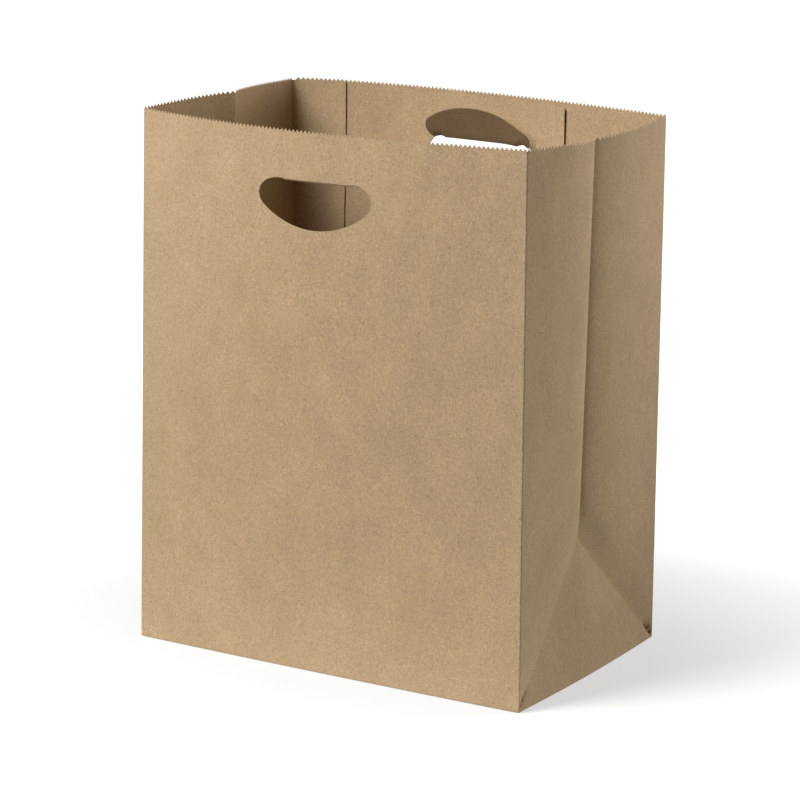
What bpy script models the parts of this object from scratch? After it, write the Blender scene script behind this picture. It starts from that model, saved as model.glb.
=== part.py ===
"""Kraft paper carrier bag with a block bottom and die-cut handles.

The bag is one creased paper sheet. It wraps round from a glued tab on the back wall through the
left gusset, the front wall and the right gusset to the back wall, and its lower end is folded in and
glued as the bottom. A reinforcing patch is glued inside each handle, and the D of paper cut for each
handle is folded in and up, still joined to the wall along its straight top edge.

Metres, +Z up, the front wall towards -Y, the origin under the centre of the bottom.
Flat positions on the sheet are (u, v): u runs round the bag and v runs up from the bottom fold.
"""

import math

import bmesh
import bpy
from mathutils import Vector
from mathutils.geometry import delaunay_2d_cdt

# Bag
WIDTH = 0.260
DEPTH = 0.168
HEIGHT = 0.320
PAPER = 0.00018
GAP = 0.0003

# Rim: each corner leans from the point straight above its bottom corner, and the walls bow out
FRONT_LEFT_LEAN = (0.0007, 0.0040, 0.0)
FRONT_RIGHT_LEAN = (-0.0034, -0.0002, 0.0)
BACK_RIGHT_LEAN = (-0.0025, 0.0, -0.0014)
BACK_LEFT_LEAN = (0.0012, -0.0050, -0.0006)
FRONT_BOW = 0.0185
FRONT_BOW_SKEW = (1.0, 1.2)
BACK_BOW = 0.0185
BACK_BOW_SKEW = (1.0, 0.65)
FOOT_BOW = 0.0013
TOOTH_PITCH = 0.0027
TOOTH_DEPTH = 0.0013

# Side gussets
APEX_INSET = 0.0095
APEX_DROP = 0.0033
RIGHT_CREASE_INSET = 0.0060
RIGHT_CREASE_SHIFT = -0.0010
RIGHT_CREASE_DIP = 0.0042
LEFT_CREASE_INSET = 0.0080
LEFT_CREASE_SHIFT = 0.0060
LEFT_CREASE_DIP = 0.0
GUSSET_BULGE = 0.0012
GUSSET_FOOT_BOW = 0.0020

# Glued seam inside the back wall
SEAM_TAB = 0.0322
SEAM_TAB_LIFT = 0.0015
SEAM_SHORT = 0.0015

# Bottom flaps
BOTTOM_OVERLAP = 0.014
FLAP_INSET = 0.0004
EMBED = 0.00002

# Handles: a straight hinge on top, round ends and a shallow curved lower edge
HANDLE_HINGE = 0.0554
HANDLE_END_RADIUS = 0.0095
HANDLE_HEIGHT = 0.0284
FRONT_HANDLE_X = 0.0015
FRONT_HANDLE_DROP = 0.0271
BACK_HANDLE_X = -0.0035
BACK_HANDLE_DROP = 0.0285
HINGE_RADIUS = 0.0013
FLAP_LEAN = math.radians(31.5)
CUT_WIDTH = 0.0005

# Reinforcing patches
PATCH_WIDTH = 0.117
PATCH_HEIGHT = 0.074
PATCH_DROP = 0.003
FRONT_PATCH_X = 0.0
BACK_PATCH_X = -0.0018

# Mesh fineness
COLUMN = 0.0145
ROW = 0.040
END_SEGMENTS = 10
LOWER_SEGMENTS = 12
FOLD_SEGMENTS = 6

# Worked out from the sizes above
PITCH_IN = PAPER + GAP
BOTTOM_Z = 2.5 * PAPER
FLAP_REACH = DEPTH / 2 + BOTTOM_OVERLAP
APEX_HEIGHT = math.sqrt((DEPTH / 2) ** 2 - APEX_INSET**2) - APEX_DROP
LEFT_START = 0.0
FRONT_START = LEFT_START + DEPTH
RIGHT_START = FRONT_START + WIDTH
BACK_START = RIGHT_START + DEPTH
SHEET_END = BACK_START + WIDTH - SEAM_SHORT


def mix(start, end, share):
    """The point at this share of the way from start to end."""
    return start + (end - start) * share


def skewed(share, skew):
    """A bow of height 1 across a wall, with its peak moved by the two exponents."""
    rise, fall = skew
    peak = rise / (rise + fall)
    return share**rise * (1 - share) ** fall / (peak**rise * (1 - peak) ** fall)


def corner(side_x, side_y, lean):
    """A corner's lowest and highest points."""
    foot = Vector((side_x * WIDTH / 2, side_y * DEPTH / 2, BOTTOM_Z))
    return foot, foot + Vector(lean) + Vector((0, 0, HEIGHT))


FRONT_LEFT = corner(-1, -1, FRONT_LEFT_LEAN)
FRONT_RIGHT = corner(1, -1, FRONT_RIGHT_LEAN)
BACK_RIGHT = corner(1, 1, BACK_RIGHT_LEAN)
BACK_LEFT = corner(-1, 1, BACK_LEFT_LEAN)
TAB_CORNER = tuple(point - Vector((0, PITCH_IN, 0)) for point in BACK_LEFT)


def wall_point(start, end, outward, bow, skew, u, v):
    """A point of the front or back wall, u from the corner called start."""
    across = min(max(u / WIDTH, 0.0), 1.0)
    up = v / HEIGHT
    flat = mix(mix(start[0], end[0], across), mix(start[1], end[1], across), up)
    rim_bow = bow * skewed(across, skew) * math.sin(math.pi / 2 * min(up, 1.0))
    foot_bow = FOOT_BOW * 4 * across * (1 - across) * max(1 - up, 0.0)
    return flat + outward * (rim_bow + foot_bow)


def front_point(u, v):
    return wall_point(FRONT_LEFT, FRONT_RIGHT, Vector((0, -1, 0)), FRONT_BOW, FRONT_BOW_SKEW, u, v)


def back_point(u, v):
    return wall_point(BACK_RIGHT, BACK_LEFT, Vector((0, 1, 0)), BACK_BOW, BACK_BOW_SKEW, u, v)


def crease_ends(side, inset, shift, dip):
    """The apex of a gusset's bottom triangle, and the top of the gusset's centre crease."""
    apex = Vector((side * (WIDTH / 2 - APEX_INSET), 0, BOTTOM_Z + APEX_HEIGHT))
    top = Vector((side * (WIDTH / 2 - inset), shift, BOTTOM_Z + HEIGHT - dip))
    return apex, top


LEFT_CREASE = crease_ends(-1, LEFT_CREASE_INSET, LEFT_CREASE_SHIFT, LEFT_CREASE_DIP)
RIGHT_CREASE = crease_ends(1, RIGHT_CREASE_INSET, RIGHT_CREASE_SHIFT, RIGHT_CREASE_DIP)


def half_gusset_point(edge, crease, side, u, v):
    """A point of half a gusset, u from its corner to the centre crease.

    Above the 45 degree fold the half is ruled from that fold up to the rim. Below the fold it is
    half of the triangle that stands on the bottom.
    """
    half = DEPTH / 2
    apex, top = crease
    outward = Vector((side, 0, 0))
    across = u / half
    if v >= u:
        fold = mix(edge[0], apex, across)
        rim = mix(edge[1], top, across) + outward * GUSSET_BULGE * math.sin(math.pi * across)
        return mix(fold, rim, (v - u) / (HEIGHT - u))
    middle = Vector((side * WIDTH / 2, 0, BOTTOM_Z))
    flat = edge[0] * (1 - across) + middle * ((u - v) / half) + apex * (v / half)
    return flat + outward * GUSSET_FOOT_BOW * math.sin(math.pi / 2 * (u - v) / half)


def gusset_point(first, second, crease, side, u, v):
    """A point of a gusset, u from the corner called first to the one called second."""
    if u <= DEPTH / 2:
        return half_gusset_point(first, crease, side, u, v)
    return half_gusset_point(second, crease, side, DEPTH - u, v)


def sheet_point(u, v):
    """Where a point of the flat sheet lies on the folded bag."""
    if u < LEFT_START:
        return back_point(WIDTH + u, v) - Vector((0, PITCH_IN, 0))
    if u <= FRONT_START:
        return gusset_point(TAB_CORNER, FRONT_LEFT, LEFT_CREASE, -1, u - LEFT_START, v)
    if u <= RIGHT_START:
        return front_point(u - FRONT_START, v)
    if u <= BACK_START:
        return gusset_point(FRONT_RIGHT, BACK_RIGHT, RIGHT_CREASE, 1, u - RIGHT_START, v)
    return back_point(u - BACK_START, v)


def steps(start, end, step):
    """Even values from start to end, no further apart than step."""
    count = max(1, math.ceil(abs(end - start) / step - 1e-6))
    return [start + (end - start) * i / count for i in range(count + 1)]


def handle_outline(inset=0.0):
    """Half a handle's edge below its hinge, as (x, depth) points from the hinge's end to the middle.

    An inset draws the same edge that much further in, for the paper cut out of the handle.
    """
    end_x = HANDLE_HINGE / 2
    end_y = HANDLE_END_RADIUS
    lower = (end_x**2 + (HANDLE_HEIGHT - end_y) ** 2 - end_y**2) / (2 * (HANDLE_HEIGHT - 2 * end_y))
    lower_y = HANDLE_HEIGHT - lower
    meet = math.atan2(end_y - lower_y, end_x)
    ends = steps(-math.pi / 2, meet, (meet + math.pi / 2) / END_SEGMENTS)
    sweep = steps(meet, math.pi / 2, (math.pi / 2 - meet) / (LOWER_SEGMENTS / 2))
    radius = end_y - inset
    round_end = [(end_x + radius * math.cos(a), end_y + radius * math.sin(a)) for a in ends]
    radius = lower - inset
    low_edge = [(radius * math.cos(a), lower_y + radius * math.sin(a)) for a in sweep[1:]]
    return round_end + low_edge


def hinge_points():
    """The hinge from right to left, without its ends."""
    end_x = HANDLE_HINGE / 2
    return [(x, 0.0) for x in steps(-end_x, end_x, COLUMN / 2)[1:-1]]


def closed_outline(half, hinge):
    """A whole outline from its right half and the points along its hinge."""
    return half + [(-x, y) for x, y in reversed(half[:-1])] + hinge


def contains(outline, x, y):
    """Whether a flat point lies inside a closed outline."""
    inside = False
    for (ax, ay), (bx, by) in zip(outline, outline[1:] + outline[:1]):
        if (ay > y) != (by > y) and x < (bx - ax) * (y - ay) / (by - ay) + ax:
            inside = not inside
    return inside


def flat_mesh(outline, holes=(), creases=(), inner=()):
    """Triangles that fill a flat outline, leave its holes open and have edges along its creases."""
    points = []
    edges = []
    for loop in (outline, *holes):
        first = len(points)
        points += [Vector(point) for point in loop]
        edges += [(first + i, first + (i + 1) % len(loop)) for i in range(len(loop))]
    for start, end in creases:
        edges.append((len(points), len(points) + 1))
        points += [Vector(start), Vector(end)]
    points += [Vector(point) for point in inner]
    flat, _, faces, *_ = delaunay_2d_cdt(points, edges, [], 0, 1e-7)
    kept = []
    for face in faces:
        x, y = sum((flat[i] for i in face), Vector((0, 0))) / 3
        if contains(outline, x, y) and not any(contains(hole, x, y) for hole in holes):
            kept.append(face)
    return flat, kept


def add_flat(mesh, flat, faces, place):
    """Adds flat triangles to a mesh, each point put where place says."""
    made = {}
    for face in faces:
        for i in face:
            if i not in made:
                made[i] = mesh.verts.new(place(*flat[i]))
        mesh.faces.new([made[i] for i in face])
    return {tuple(flat[i]): vert for i, vert in made.items()}


def toothed(start, end, level):
    """The serrated rim from start to end, as (u, v) points."""
    count = round(abs(end - start) / TOOTH_PITCH)
    places = steps(start, end, abs(end - start) / (2 * count))
    return [(u, level + (0.5 if i % 2 else -0.5) * TOOTH_DEPTH) for i, u in enumerate(places)]


def grid(starts, low, high):
    """Points inside the walls, in even columns and rows, and one row close under the rim."""
    rows = steps(low, high, ROW)[1:-1] + [high - ROW / 8]
    columns = []
    for start, end in zip(starts, starts[1:]):
        columns += steps(start, end, COLUMN)[1:-1]
    return [(u, v) for u in columns for v in rows]


def handle_hole(centre_u, hinge_v):
    """The outline of a handle on the sheet."""
    outline = closed_outline(handle_outline(), hinge_points())
    return [(centre_u + x, hinge_v - depth) for x, depth in outline]


def clear_of(holes, points, margin):
    """The points that don't lie in or close round a hole."""
    boxes = []
    for hole in holes:
        across, up = zip(*hole)
        boxes.append((min(across), max(across), min(up), max(up)))
    return [
        (u, v)
        for u, v in points
        if not any(a - margin < u < b + margin and c - margin < v < d + margin for a, b, c, d in boxes)
    ]


def add_handle_flap(mesh, hinge_at, inward, fold_radius, length_share):
    """Adds the paper cut out of a handle: it rolls round the fold and leans up inside the wall.

    hinge_at gives the hinge's place for an x along it.
    """
    turn = math.pi - FLAP_LEAN
    rolled = fold_radius * turn
    wide = WIDTH / 2
    side = [(HANDLE_HINGE / 2, 0.0)] + handle_outline(CUT_WIDTH)
    outline = closed_outline(side, hinge_points())
    folds = [((-wide, s), (wide, s)) for s in steps(0, rolled, rolled / FOLD_SEGMENTS)[1:]]
    inner = [(x, HANDLE_HEIGHT / 2) for x, _ in hinge_points()]
    flat, faces = flat_mesh(outline, creases=folds, inner=inner)

    def place(x, depth):
        reach = depth * length_share
        angle = min(reach, rolled) / fold_radius
        straight = max(reach - rolled, 0.0)
        step_in = fold_radius * (1 - math.cos(angle)) + straight * math.sin(turn)
        step_down = fold_radius * math.sin(angle) + straight * math.cos(turn)
        return hinge_at(x) + inward * step_in - Vector((0, 0, step_down))

    faces = [tuple(reversed(face)) for face in faces]
    add_flat(mesh, flat, faces, place)


def mesh_object(name, mesh, material, collection):
    """A new object that holds this mesh."""
    data = bpy.data.meshes.new(name)
    mesh.to_mesh(data)
    mesh.free()
    obj = bpy.data.objects.new(name, data)
    data.materials.append(material)
    collection.objects.link(obj)
    return obj


def thicken(obj, thickness):
    """Gives an open paper surface its thickness, half on each side."""
    solid = obj.modifiers.new("Paper thickness", "SOLIDIFY")
    solid.thickness = thickness
    solid.offset = 0.0
    solid.use_even_offset = True
    return solid


def make_sheet():
    """The creased sheet: walls, gussets, seam tab, the inner face of the bottom and handle flaps."""
    half = DEPTH / 2
    starts = [LEFT_START, LEFT_START + half, FRONT_START, RIGHT_START, RIGHT_START + half, BACK_START]
    foot = []
    for start, end in zip(starts, starts[1:] + [SHEET_END]):
        foot += [(u, 0.0) for u in steps(start, end, COLUMN)[:-1]]
    rim = []
    for start, end in reversed(list(zip([-SEAM_TAB, *starts], [*starts, SHEET_END]))):
        rim += list(reversed(toothed(start, end, HEIGHT)))[:-1]
    tab_foot = [(-SEAM_TAB, SEAM_TAB_LIFT), (LEFT_START, SEAM_TAB_LIFT)]
    rim_end = (-SEAM_TAB, HEIGHT - TOOTH_DEPTH / 2)
    outline = [*foot, (SHEET_END, 0.0), *rim, rim_end, *tab_foot]

    top = HEIGHT - TOOTH_DEPTH / 2
    creases = [((LEFT_START, SEAM_TAB_LIFT), (LEFT_START, top))]
    creases += [((u, 0.0), (u, top)) for u in (FRONT_START, RIGHT_START, BACK_START)]
    for start in (LEFT_START, RIGHT_START):
        apex = (start + half, half)
        creases += [((start, 0.0), apex), ((start + DEPTH, 0.0), apex)]
        creases.append((apex, (start + half, top)))

    front_u = FRONT_START + WIDTH / 2 + FRONT_HANDLE_X
    back_u = BACK_START + WIDTH / 2 - BACK_HANDLE_X
    front_v = HEIGHT - FRONT_HANDLE_DROP
    back_v = HEIGHT - BACK_HANDLE_DROP
    holes = [handle_hole(front_u, front_v), handle_hole(back_u, back_v)]
    inner = clear_of(holes, grid([-SEAM_TAB, *starts, SHEET_END], 0.0, HEIGHT), COLUMN / 3)

    mesh = bmesh.new()
    flat, faces = flat_mesh(outline, holes, creases, inner)
    made = add_flat(mesh, flat, faces, sheet_point)
    on_foot = sorted((u, vert) for (u, v), vert in made.items() if v == 0.0)
    mesh.faces.new([vert for _, vert in reversed(on_foot)])
    inside = Vector((0, 1, 0))
    add_handle_flap(mesh, lambda x: sheet_point(front_u + x, front_v), inside, HINGE_RADIUS, 1.0)
    add_handle_flap(mesh, lambda x: sheet_point(back_u + x, back_v), -inside, HINGE_RADIUS, 1.0)
    bmesh.ops.remove_doubles(mesh, verts=mesh.verts, dist=1e-6)
    return mesh


def make_patch(wall, centre_u, handle_u, hinge_v, inward):
    """A reinforcing patch inside a wall, with its own handle hole and folded flap."""
    left = centre_u - PATCH_WIDTH / 2
    right = centre_u + PATCH_WIDTH / 2
    top = HEIGHT - PATCH_DROP
    low = top - PATCH_HEIGHT
    across = steps(left, right, COLUMN)
    up = steps(low, top, ROW / 2)
    outline = [(u, low) for u in across] + [(right, v) for v in up[1:]]
    outline += [(u, top) for u in reversed(across[:-1])] + [(left, v) for v in reversed(up[1:-1])]
    hole = handle_hole(handle_u, hinge_v)
    inner = clear_of([hole], [(u, v) for u in across[1:-1] for v in up[1:-1]], COLUMN / 3)

    def place(u, v):
        return wall(u, v) + inward * PITCH_IN

    mesh = bmesh.new()
    flat, faces = flat_mesh(outline, [hole], inner=inner)
    add_flat(mesh, flat, faces, place)
    radius = HINGE_RADIUS - PITCH_IN
    share = 1 - PITCH_IN * (math.pi - FLAP_LEAN) / HANDLE_HEIGHT
    add_handle_flap(mesh, lambda x: place(handle_u + x, hinge_v), inward, radius, share)
    bmesh.ops.remove_doubles(mesh, verts=mesh.verts, dist=1e-6)
    return mesh


def make_plate(outline, low, high):
    """A flat layer of the bottom with this outline, from one level up to another."""
    mesh = bmesh.new()
    face = mesh.faces.new([mesh.verts.new((x, y, low)) for x, y in outline])
    if face.normal.z > 0:
        face.normal_flip()
    mesh.normal_update()
    lifted = bmesh.ops.extrude_face_region(mesh, geom=[face])["geom"]
    moved = [item for item in lifted if isinstance(item, bmesh.types.BMVert)]
    bmesh.ops.translate(mesh, verts=moved, vec=(0, 0, high - low))
    bmesh.ops.recalc_face_normals(mesh, faces=mesh.faces)
    return mesh


def long_flap_outline(wall, side):
    """A front or back bottom flap: as wide as the bag at its fold, and narrowing at 45 degrees."""
    base = [wall(u, 0.0) for u in steps(0, WIDTH, COLUMN)]
    shrink = 1 - 2 * FLAP_INSET / WIDTH
    fold = [(point.x * shrink, point.y - side * FLAP_INSET) for point in base]
    half = WIDTH / 2 - FLAP_REACH
    level = side * (DEPTH / 2 - FLAP_REACH)
    edge = [(x, level - side * (y - HEIGHT)) for x, y in toothed(-half, half, HEIGHT)]
    return fold + (edge if fold[0][0] > 0 else edge[::-1])


def short_flap_outline(side):
    """A side bottom flap, which lies inside the bag over the ends of the long flaps."""
    half = DEPTH / 2 - FLAP_INSET
    outer = side * (WIDTH / 2 - FLAP_INSET)
    level = side * (WIDTH / 2 - FLAP_REACH)
    edge = [(level - side * (x - HEIGHT), y) for y, x in toothed(-half, half, HEIGHT)]
    return [(outer, half), (outer, -half), *edge]


def join_bottom(bag, material, helpers):
    """Glues the four bottom flaps to the bag, as steps of one paper thickness."""
    layers = (
        ("bottom_front_flap", long_flap_outline(front_point, -1), PAPER, BOTTOM_Z - EMBED),
        ("bottom_back_flap", long_flap_outline(back_point, 1), 0.0, BOTTOM_Z + EMBED),
        ("bottom_left_flap", short_flap_outline(-1), BOTTOM_Z, BOTTOM_Z + 1.5 * PAPER),
        ("bottom_right_flap", short_flap_outline(1), BOTTOM_Z, BOTTOM_Z + 1.5 * PAPER),
    )
    for name, outline, low, high in layers:
        flap = mesh_object(name, make_plate(outline, low, high), material, helpers)
        flap.hide_render = True
        flap.display_type = "WIRE"
        glue = bag.modifiers.new(f"Glue {name}", "BOOLEAN")
        glue.operation = "UNION"
        glue.object = flap


def kraft(name, colour, roughness):
    """Plain kraft paper."""
    material = bpy.data.materials.new(name)
    material.use_nodes = True
    shader = material.node_tree.nodes["Principled BSDF"]
    shader.inputs["Base Color"].default_value = (*colour, 1)
    shader.inputs["Roughness"].default_value = roughness
    shader.inputs["Metallic"].default_value = 0.0
    return material


def collection(name):
    made = bpy.data.collections.new(name)
    bpy.context.scene.collection.children.link(made)
    return made


def main():
    for obj in list(bpy.data.objects):
        bpy.data.objects.remove(obj, do_unlink=True)
    bag_parts = collection("paper_bag")
    helpers = collection("bottom_layers")

    bag_paper = kraft("bag_paper", (0.47, 0.33, 0.19), 0.85)
    patch_paper = kraft("patch_paper", (0.50, 0.35, 0.20), 0.85)

    bag = mesh_object("bag_body", make_sheet(), bag_paper, bag_parts)
    thicken(bag, PAPER)
    join_bottom(bag, bag_paper, helpers)

    middle = WIDTH / 2
    patch_u = middle + FRONT_PATCH_X
    handle_u = middle + FRONT_HANDLE_X
    front = make_patch(front_point, patch_u, handle_u, HEIGHT - FRONT_HANDLE_DROP, Vector((0, 1, 0)))
    thicken(mesh_object("front_handle_patch", front, patch_paper, bag_parts), PAPER)
    patch_u = middle - BACK_PATCH_X
    handle_u = middle - BACK_HANDLE_X
    back = make_patch(back_point, patch_u, handle_u, HEIGHT - BACK_HANDLE_DROP, Vector((0, -1, 0)))
    thicken(mesh_object("back_handle_patch", back, patch_paper, bag_parts), PAPER)


main()
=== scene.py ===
"""Looks of the kraft paper carrier bag: creased paper, serrated rim, folded handles, light and camera.

Metres, +Z up, the front wall towards -Y. Flat positions on the sheet are (u, v): u runs from the
glued tab on the back wall through the left gusset, the front wall and the right gusset to the back
wall, and v runs up from the bottom fold. Below v = 0 are the four flaps that make the bottom.
"""

import math

import bmesh
import bpy
import numpy as np
from mathutils import Matrix, Vector
from mathutils.geometry import delaunay_2d_cdt


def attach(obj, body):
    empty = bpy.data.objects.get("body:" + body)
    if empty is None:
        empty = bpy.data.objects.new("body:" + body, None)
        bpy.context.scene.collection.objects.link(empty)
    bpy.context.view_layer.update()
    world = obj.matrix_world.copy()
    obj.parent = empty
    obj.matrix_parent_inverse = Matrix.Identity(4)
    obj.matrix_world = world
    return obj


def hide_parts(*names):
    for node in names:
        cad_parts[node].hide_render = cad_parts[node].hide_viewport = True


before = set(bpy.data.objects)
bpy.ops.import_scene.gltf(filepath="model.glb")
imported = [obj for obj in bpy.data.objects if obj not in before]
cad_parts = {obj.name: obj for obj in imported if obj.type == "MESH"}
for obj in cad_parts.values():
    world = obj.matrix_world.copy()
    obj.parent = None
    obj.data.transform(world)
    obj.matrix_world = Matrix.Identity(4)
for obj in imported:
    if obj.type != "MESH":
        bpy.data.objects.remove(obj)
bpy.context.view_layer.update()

# Bag, as in the solids
WIDTH = 0.260
DEPTH = 0.168
HEIGHT = 0.320
PAPER = 0.00018
PATCH_GAP = 0.00042
BOTTOM_Z = 2.5 * PAPER

# Rim: how far each corner leans from the point straight above its bottom corner
FRONT_LEFT_LEAN = (0.0007, 0.0040, 0.0)
FRONT_RIGHT_LEAN = (-0.0034, -0.0002, 0.0)
BACK_RIGHT_LEAN = (-0.0025, 0.0, -0.0014)
BACK_LEFT_LEAN = (0.0012, -0.0050, -0.0006)
FRONT_BOW = 0.0185
FRONT_BOW_SKEW = (1.0, 1.2)
BACK_BOW = 0.0185
BACK_BOW_SKEW = (1.0, 0.65)
FOOT_BOW = 0.0013
TOOTH_PITCH = 0.00266
TOOTH_DEPTH = 0.0016
GUSSET_TOOTH_PITCH = 0.0034
GUSSET_TOOTH_DEPTH = 0.0017
TOOTH_POINTS = 6

# Side gussets
APEX_INSET = 0.0095
APEX_DROP = 0.0033
RIGHT_CREASE_INSET = 0.0042
RIGHT_CREASE_SHIFT = -0.0040
RIGHT_CREASE_DIP = 0.0042
LEFT_CREASE_INSET = 0.0080
LEFT_CREASE_SHIFT = 0.0060
LEFT_CREASE_DIP = 0.0
GUSSET_BULGE = 0.0012
GUSSET_FOOT_BOW = 0.0020

# Swelling of the gussets' halves: a round part that grows upwards, and a part pinched at the crease
FRONT_HALF_SWELL = 0.0022
BACK_HALF_SWELL = 0.0020
SWELL_START = 0.12
LEFT_PINCH = 0.0032
RIGHT_PINCH = 0.0027
PINCH_SKEW = (3.0, 0.6)
PINCH_LOSS = 0.3

# A short nip in the fold at each bottom corner
NIP_DEPTH = 0.0036
NIP_WIDTH = 0.0012
NIP_LENGTH = 0.013

# Slack in the flat walls
RIPPLE_HEIGHT = 0.00022
RIPPLE_SIZES = (0.035, 0.100)
RIPPLE_WAVES = 8
RIPPLE_SEEDS = (11, 12)
RIPPLE_FADE = 0.030
RIPPLE_LOSS = 0.7
PATCH_SHOW = 0.00014
PATCH_SHOW_WIDTH = 0.004

# A soft bend across the right half of the front wall, and a short ridge beside its patch
BEND_LEVEL = 0.157
BEND_HEIGHT = 0.0011
BEND_LENGTH = 0.022
BEND_ROUND = 0.005
BEND_FROM = (0.12, 0.19)
BEND_TO = (0.243, 0.260)
RIDGE_HEIGHT = 0.0005
RIDGE_WIDTH = 0.006
RIDGE_TOP = (0.203, 0.320)
RIDGE_FOOT = (0.1885, 0.275)
RIDGE_FADE = (0.8, 2.2)

# Glued seam inside the back wall
SEAM_TAB = 0.0322
SEAM_TAB_LIFT = 0.0003
SEAM_SHORT = 0.0015
SEAM_STEP = 0.002
SEAM_LOOSE = 0.0005
SEAM_LOOSE_WIDTH = 0.009
SEAM_LOOSE_RISE = (0.08, 0.25)

# Bottom flaps: the back flap is outermost, and the side flaps lie inside the bag
FLAP_OVERLAP = 0.028
FLAP_REACH = DEPTH / 2 + FLAP_OVERLAP / 2
BACK_FLAP_Z = 0.5 * PAPER
FRONT_FLAP_Z = 1.7 * PAPER
SIDE_FLAP_Z = 2.9 * PAPER
LEVEL_CHANGE = 0.004
FLAP_SIDE_INSET = 0.0005

# Handles
HANDLE_HINGE = 0.0554
HANDLE_END_RADIUS = 0.0095
HANDLE_HEIGHT = 0.0284
FRONT_HANDLE_X = 0.0015
FRONT_HANDLE_DROP = 0.0271
BACK_HANDLE_X = -0.0035
BACK_HANDLE_DROP = 0.0285
HINGE_RADIUS = 0.0013
FLAP_LEAN = math.radians(31.5)
FRONT_FLAP_LIFT = math.radians(2)
BACK_FLAP_LIFT = math.radians(1)
FLAP_LIFT_START = 0.014

# Each handle's ends at low u and at high u: the radius, and how far the curve above it reaches in
FRONT_HANDLE_ENDS = ((HANDLE_END_RADIUS, 0.0150), (HANDLE_END_RADIUS, 0.0110))
BACK_HANDLE_ENDS = ((0.0085, 0.0085), (HANDLE_END_RADIUS, HANDLE_END_RADIUS))
BACK_FLAP_SAG = 0.0018
CUT_WIDTH = 0.0004

# Reinforcing patches
PATCH_WIDTH = 0.117
PATCH_HEIGHT = 0.074
PATCH_DROP = 0.003
FRONT_PATCH_X = 0.0
BACK_PATCH_X = -0.0018
PATCH_CURL = 0.0012
PATCH_CURL_WIDTH = 0.012

# Mesh fineness, and the narrow bands beside cut edges that are kept free of inner points
STEP = 0.0033
FLAP_STEP = 0.009
HINGE_STEP = 0.8 * STEP
END_STEP = math.radians(9)
LOW_EDGE_STEP = 0.0022
FOLD_RADIUS = 0.0006
FOLD_LINES = (0.5, 1.0, 1.9)
FOLD_SAMPLES = 5
TAB_COLUMNS = (0.0015, 0.003)
RIM_BAND = 0.0022
SHEET_END_BAND = 0.001
HOLE_BAND = 0.0012
FLAP_EDGE_BAND = 0.0008
FLAP_END_SHRINK = 0.985
WELD = 2e-6
SHARP_FOLD = math.radians(50)

# Worked out from the sizes above
APEX_HEIGHT = math.sqrt((DEPTH / 2) ** 2 - APEX_INSET**2) - APEX_DROP
LEFT_START = 0.0
LEFT_MIDDLE = DEPTH / 2
FRONT_START = DEPTH
RIGHT_START = FRONT_START + WIDTH
RIGHT_MIDDLE = RIGHT_START + DEPTH / 2
BACK_START = RIGHT_START + DEPTH
BACK_END = BACK_START + WIDTH
SHEET_END = BACK_END - SEAM_SHORT
HANDLE_HALF = HANDLE_HINGE / 2 + HANDLE_END_RADIUS

FRONT_HANDLE = (FRONT_START + WIDTH / 2 + FRONT_HANDLE_X, HEIGHT - FRONT_HANDLE_DROP)
BACK_HANDLE = (BACK_START + WIDTH / 2 - BACK_HANDLE_X, HEIGHT - BACK_HANDLE_DROP)

# Paper: colour, sheen, and each noise's scale per metre, upright stretch, detail and roughness;
# a tone range maps noise from its first two values to its last two
BAG_COLOUR = (0.420, 0.298, 0.173)
# The patches are the bag's own kraft, painted a little lighter: painted light standing in for the
# stronger light inside the back wall
PATCH_COLOUR_PAINTED_LIGHTER = (0.445, 0.317, 0.185)
PAPER_ROUGHNESS = 0.9
PAPER_SPECULAR = 0.12
CLOUD_NOISE = (42.0, 0.7, 5.0, 0.68)
CLOUD_TONES = (0.3, 0.7, 0.93, 1.07)
GRAIN_NOISE = (1100.0, 0.85, 2.0, 0.7)
GRAIN_TONES = (0.3, 0.7, 0.80, 1.20)
FIBRE_NOISE = (1500.0, 0.18, 2.0, 0.5)
FIBRE_TONES = (0.3, 0.7, 0.94, 1.06)
FLECK_NOISE = (600.0, 0.8, 0.0, 0.0)
FLECK_TONES = (0.77, 0.82, 1.0, 0.80)
TOOTH_STRENGTH = 0.25
TOOTH_HEIGHT = 0.00025

# Camera
CAMERA_AZIMUTH = 30.542
CAMERA_ELEVATION = 13.638
CAMERA_ROLL = math.radians(0.8753)
CAMERA_DISTANCE = 1.94793
CAMERA_AIM = (0.001594, 0.143225)
CAMERA_LENS = 144.784
CAMERA_SENSOR = 36.0

# Lamps: name, azimuth, elevation, strength and spread in degrees; azimuth 0 is in front, +X beyond it
FAR_LAMPS = (
    ("left_sky", -40.0, 50.0, 1.73, 25.0),
    ("right_back", 135.0, 3.0, 0.90, 25.0),
)

# Soft boxes: name, azimuth, elevation, distance from the bag's middle, size and power
SOFT_BOXES = (
    ("front_key", -25.0, 57.0, 1.9, 0.5, 28.0),
    ("front_low", -22.0, 32.0, 1.9, 0.6, 11.3),
    ("back_edge", 150.0, 4.0, 0.8, 0.4, 1.5),
    ("back_high", 130.0, 25.0, 0.8, 0.4, 2.6),
)
AMBIENT = 0.01

# Floor: its own shade, and how strongly it glows near the bag and far from it, to the camera
# and onto the bag; distances are in half widths and half depths of the bag, and the light onto
# the bag has its middle in front on the left, where the bag's own shadow doesn't fall. The glow
# to the camera is weaker near the bag, which paints a soft grey shade round the bag and fades
# its shadow away from it
FLOOR_SIZE = 6.0
FLOOR_SHADE = 0.30
FLOOR_GLOW_AND_PAINTED_SHADE = (0.55, 1.0)
FLOOR_GLOW_REACH = (1.25, 4.6)
FLOOR_GLOW_MIDDLE = (0.0, 0.0)
FLOOR_NEAR_LIGHT = (0.66, 0.0)
FLOOR_NEAR_REACH = (0.8, 2.4)
FLOOR_NEAR_MIDDLE = (-0.3, -0.9)


def along(start, end, share):
    """The points at these shares of the way from start to end."""
    share = np.asarray(share, float)[..., None]
    return np.asarray(start) * (1 - share) + np.asarray(end) * share


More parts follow.
